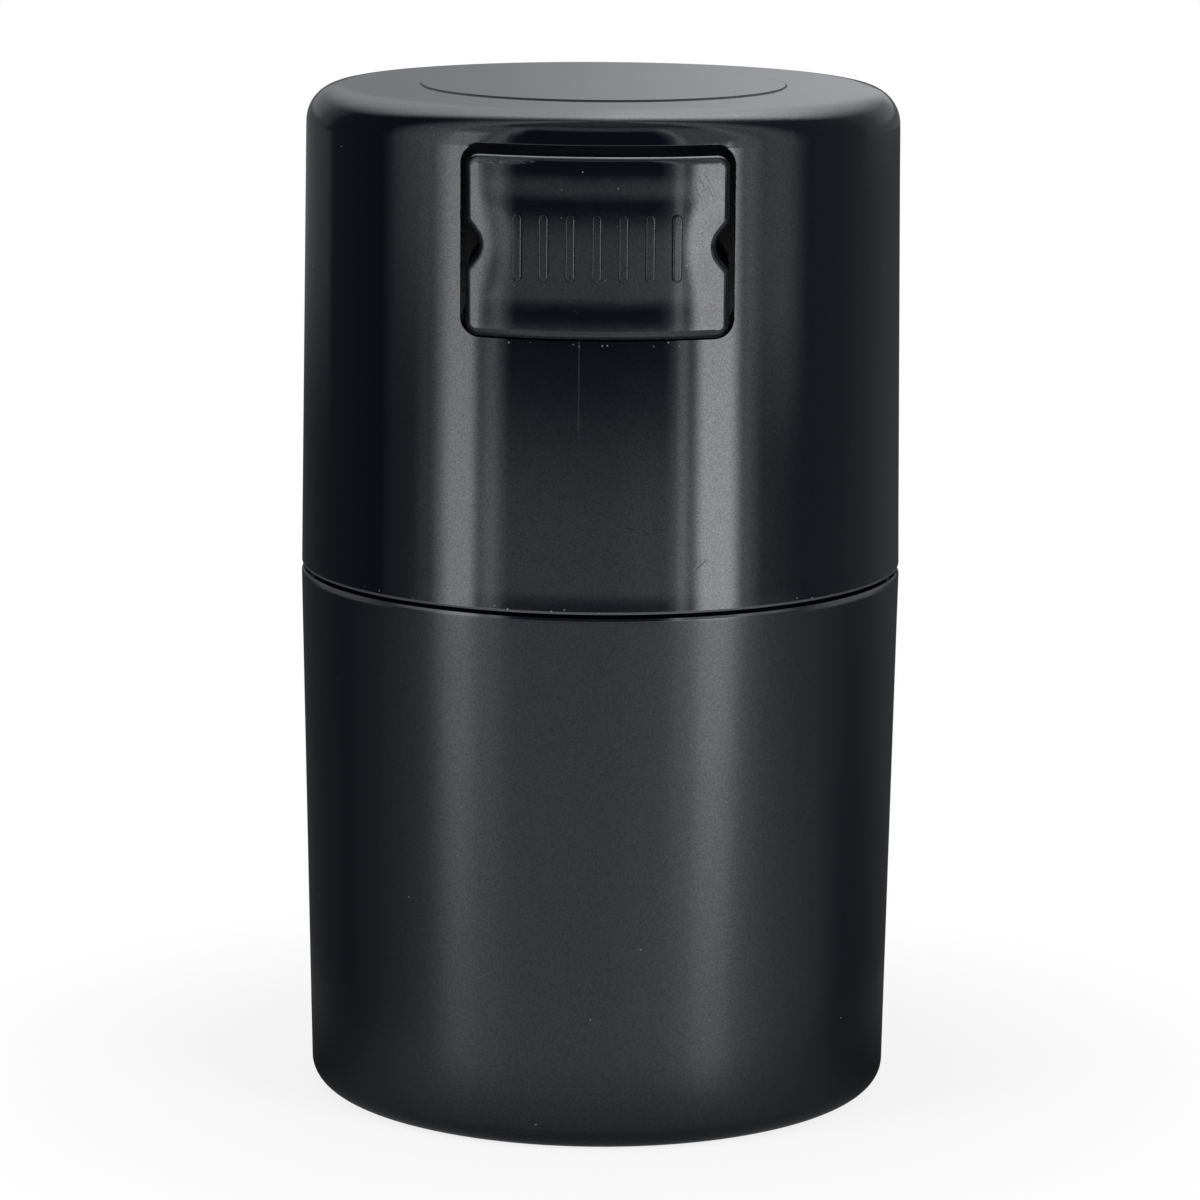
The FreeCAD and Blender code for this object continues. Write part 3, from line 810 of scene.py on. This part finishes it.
def turn_outline(name, outline, place, segments):
    """Mesh of an outline turned about an axis. place(radius, height, angle) gives its points."""
    count = len(outline)
    points = [place(r, h, 2 * math.pi * i / segments) for i in range(segments) for r, h in outline]
    faces = [
        (i * count + j, i * count + (j + 1) % count,
         (i + 1) % segments * count + (j + 1) % count, (i + 1) % segments * count + j)
        for i in range(segments) for j in range(count)
    ]
    return smooth_mesh(name, points, faces)


def dressed(name, mesh, material):
    """Object in the scene with a mesh and a finish."""
    piece = bpy.data.objects.new(name, mesh)
    mesh.materials.append(material)
    scene.collection.objects.link(piece)
    return piece


print("turned pieces ready")

# %% [markdown]
# Silicone is matt and finely pitted, and in patches it has a pale bloom. Both silicone pieces are the
# same kind of moulding, so they share one finish.

# %% Silicone
silicone_dark = (0.026, 0.026, 0.029)
silicone_bloom = (0.05, 0.05, 0.054)
silicone_roughness = (0.5, 0.68)       # without bloom, with bloom
bloom_range = (0.45, 0.75)


def silicone_finish():
    """Dark silicone: matt, finely pitted, with a pale bloom in patches."""
    material, tree, shader, place = new_finish("silicone")
    pits = ripple(tree, place, size=0.12, rise=0.004)
    swim = ripple(tree, place, size=2.5, rise=0.02)
    bloom = step(tree, noise(tree, place, size=1.8, detail=4.0), *bloom_range)
    wire(tree, shader, {
        "Normal": bump(tree, [pits, swim]),
        "Base Color": mix_colour(tree, bloom, silicone_dark, silicone_bloom),
        "Roughness": mix(tree, bloom, *silicone_roughness),
    })
    return material


silicone = silicone_finish()
print("silicone ready")

# %% [markdown]
# The neck ring grips with two soft lips and a valley between them. A thin ridge of flash in the valley
# shows where the two halves of its tool met.

# %% Neck ring
seal_low, seal_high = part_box("neck_seal")
ring_outer = seal_high[0]
ring_low = seal_low[2]
ring_top = seal_high[2]
lower_half = [   # from the ring's outer radius and its foot, in mm
    (-1.8, 0.35), (-1.6, 0.0), (-0.5, 0.0), (0.0, 0.2),
    (0.0, 1.05), (-0.55, 1.4), (-0.7, 1.75), (-0.66, 1.86),
]
ring_outline = [(ring_outer + r * mm, ring_low + h * mm) for r, h in lower_half]
ring_outline += [(r, ring_low + ring_top - h) for r, h in reversed(ring_outline)]


def about_axis(radius, height, angle):
    """Point about the canister's own axis."""
    return radius * math.cos(angle), radius * math.sin(angle), height


ring_mesh = turn_outline("neck_ring", soften(ring_outline), about_axis, segments=240)
ring = dressed("neck_ring", ring_mesh, silicone)
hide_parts("neck_seal")
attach(ring, "container")
print(f"neck ring: radius {ring_outer / mm:.2f} mm, {len(ring_mesh.polygons)} faces")

# %% [markdown]
# The valve disc closes the vent from inside. Its front has a shallow groove where the seat's bead has
# pressed, and its edge is rounded. It turns about the stem, which points along the y axis.

# %% Valve disc
disc_low, disc_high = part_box("valve_disc")
stem_z = (disc_low[2] + disc_high[2]) / 2
disc_radius = disc_high[0]
disc_depth = disc_high[1] - disc_low[1]
disc_outline = [   # radius, depth behind the front face, in mm
    (1.65, 0.1), (1.9, 0.02), (3.4, 0.0), (3.8, 0.03), (4.1, 0.14), (4.4, 0.03), (4.9, 0.0),
    (5.6, 0.1), (5.6, 1.3), (5.2, 1.5), (3.9, 1.5), (3.7, 1.44), (1.9, 1.46), (1.65, 1.4),
]
disc_outline = [(r * mm, d * mm) for r, d in disc_outline]


def about_stem(radius, depth, angle):
    """Point about the button's stem, behind the disc's front face."""
    return radius * math.cos(angle), disc_low[1] + depth, stem_z + radius * math.sin(angle)


disc_mesh = turn_outline("valve_flap", soften(disc_outline, rounds=2), about_stem, segments=96)
disc = dressed("valve_flap", disc_mesh, silicone)
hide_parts("valve_disc")
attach(disc, "button")
print(f"valve disc: radius {disc_radius / mm:.2f} mm, {disc_depth / mm:.2f} mm thick")

# %% [markdown]
# The spring is wound from wire. Its end turns lie close and flat, so that it stands square on the
# pocket's floor and on the button, and the turns between them are open. The winding gives the middle
# of the wire as a row of stations, and the open turns share the length that the close ones leave.

# %% Spring winding
spring_low, spring_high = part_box("valve_spring")
wire_radius = 0.25 * mm
coil_radius = spring_high[0] - wire_radius
spring_length = spring_high[1] - spring_low[1]
coil_turns = 5.6
close_turns = 0.8
close_pitch = 0.52 * mm
blend_turns = 0.5                      # from close to open
stations_per_turn = 40


def open_share(turn):
    """0 in the close end turns, 1 in the open turns."""
    near = min(turn, coil_turns - turn)
    share = min(max((near - close_turns + blend_turns / 2) / blend_turns, 0), 1)
    return share * share * (3 - 2 * share)


def winding():
    """Centre points of the wire, from the pocket's floor to the button."""
    count = round(coil_turns * stations_per_turn)
    step_turn = coil_turns / count
    shares = [open_share((i + 0.5) * step_turn) for i in range(count)]
    room = spring_length - 2 * wire_radius - coil_turns * close_pitch
    rise = room / sum(shares)
    depth = 0.0
    centres = []
    for i in range(count + 1):
        angle = 2 * math.pi * i * step_turn
        y = spring_high[1] - wire_radius - depth
        centres.append(Vector((coil_radius * math.cos(angle), y, stem_z + coil_radius * math.sin(angle))))
        if i < count:
            depth += close_pitch * step_turn + rise * shares[i]
    return centres


centres = winding()
print(f"spring: {coil_turns} turns, {spring_length / mm:.2f} mm long, {len(centres)} stations")

# %% [markdown]
# A curve with a round bevel could make the wire, but then its ends and its drawing lines are hard to
# reach. The tube is made straight from the winding instead: at each station a ring of points stands
# across the wire. Two attributes carry the place round the wire and along it, so the drawing lines can
# follow it.

# %% Spring wire
ring_points = 12


def wire_mesh(name, centres):
    """Closed tube along the centres, with its flat ends."""
    points, around, along, faces = [], [], [], []
    for i, centre in enumerate(centres):
        ahead = centres[min(i + 1, len(centres) - 1)] - centres[max(i - 1, 0)]
        outward = Vector((centre.x, 0, centre.z - stem_z)).normalized()
        across = ahead.normalized().cross(outward).normalized()
        for j in range(ring_points):
            angle = 2 * math.pi * j / ring_points
            points.append(centre + wire_radius * (outward * math.cos(angle) + across * math.sin(angle)))
            around.append(angle)
            along.append(i / stations_per_turn)
    last = (len(centres) - 1) * ring_points
    for near in range(0, last, ring_points):
        far = near + ring_points
        for j in range(ring_points):
            k = (j + 1) % ring_points
            faces.append((near + j, near + k, far + k, far + j))
    faces += [tuple(reversed(range(ring_points))), tuple(range(last, last + ring_points))]
    mesh = smooth_mesh(name, points, faces)
    mesh.attributes.new("around", "FLOAT", "POINT").data.foreach_set("value", around)
    mesh.attributes.new("along", "FLOAT", "POINT").data.foreach_set("value", along)
    return mesh


coil_mesh = wire_mesh("valve_coil", centres)
print(f"spring wire: {len(coil_mesh.polygons)} faces")

# %% [markdown]
# Drawn stainless wire has fine lines along it and, in places, a dull trace of the soap that it was
# drawn with. The coil rides on the cap and has a mesh of its own.

# %% Spring
wire_steel = (0.6, 0.6, 0.61)
wire_roughness = (0.18, 0.3)
line_depth = 0.003
soap_grey = (0.42, 0.41, 0.4)
soap_range = (0.55, 0.75)
soap_roughness = 0.45


def wire_finish():
    """Drawn stainless wire: fine lines along it, a little soap left from the drawing."""
    material, tree, shader, place = new_finish("drawn_wire")
    around = add(tree, "Attribute", attribute_name="around").outputs["Fac"]
    along = add(tree, "Attribute", attribute_name="along").outputs["Fac"]
    flat = add(tree, "CombineXYZ", {"X": around, "Y": along})
    lines = noise(tree, flat, size=0.25, stretch=(1, 12, 1))
    soap = step(tree, noise(tree, place, size=1.3, detail=3.0), *soap_range)
    wire(tree, shader, {
        "Normal": bump(tree, [sums(tree, "MULTIPLY", lines, line_depth)]),
        "Base Color": mix_colour(tree, soap, wire_steel, soap_grey),
        "Roughness": mix(tree, soap, mix(tree, lines, *wire_roughness), soap_roughness),
        "Metallic": 1.0,
    })
    return material


spring = dressed("valve_coil", coil_mesh, wire_finish())
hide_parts("valve_spring")
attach(spring, "cap")
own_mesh(spring)

# %% [markdown]
# The washer and the clip are stamped from stainless strip. The strip's rolling lines run straight
# across both, and handling has left paler patches on their faces.

# %% Stamped steel
strip_dark = (0.56, 0.56, 0.57)
strip_bright = (0.66, 0.66, 0.67)
strip_roughness = (0.2, 0.36)
rolling_depth = 0.0012


def stamped_finish():
    """Stainless strip with rolling lines and faint handling marks."""
    material, tree, shader, place = new_finish("stamped_steel")
    rolling = noise(tree, place, size=0.06, detail=3.0, stretch=(60, 1, 1))
    marks = noise(tree, place, size=1.5, detail=3.0)
    wire(tree, shader, {
        "Normal": bump(tree, [sums(tree, "MULTIPLY", rolling, rolling_depth)]),
        "Base Color": mix_colour(tree, marks, strip_dark, strip_bright),
        "Roughness": mix(tree, rolling, *strip_roughness),
        "Metallic": 1.0,
    })
    return material


steel = stamped_finish()
wear("disc_washer", steel)
wear("stem_clip", steel)
print("stamped steel: disc_washer, stem_clip")
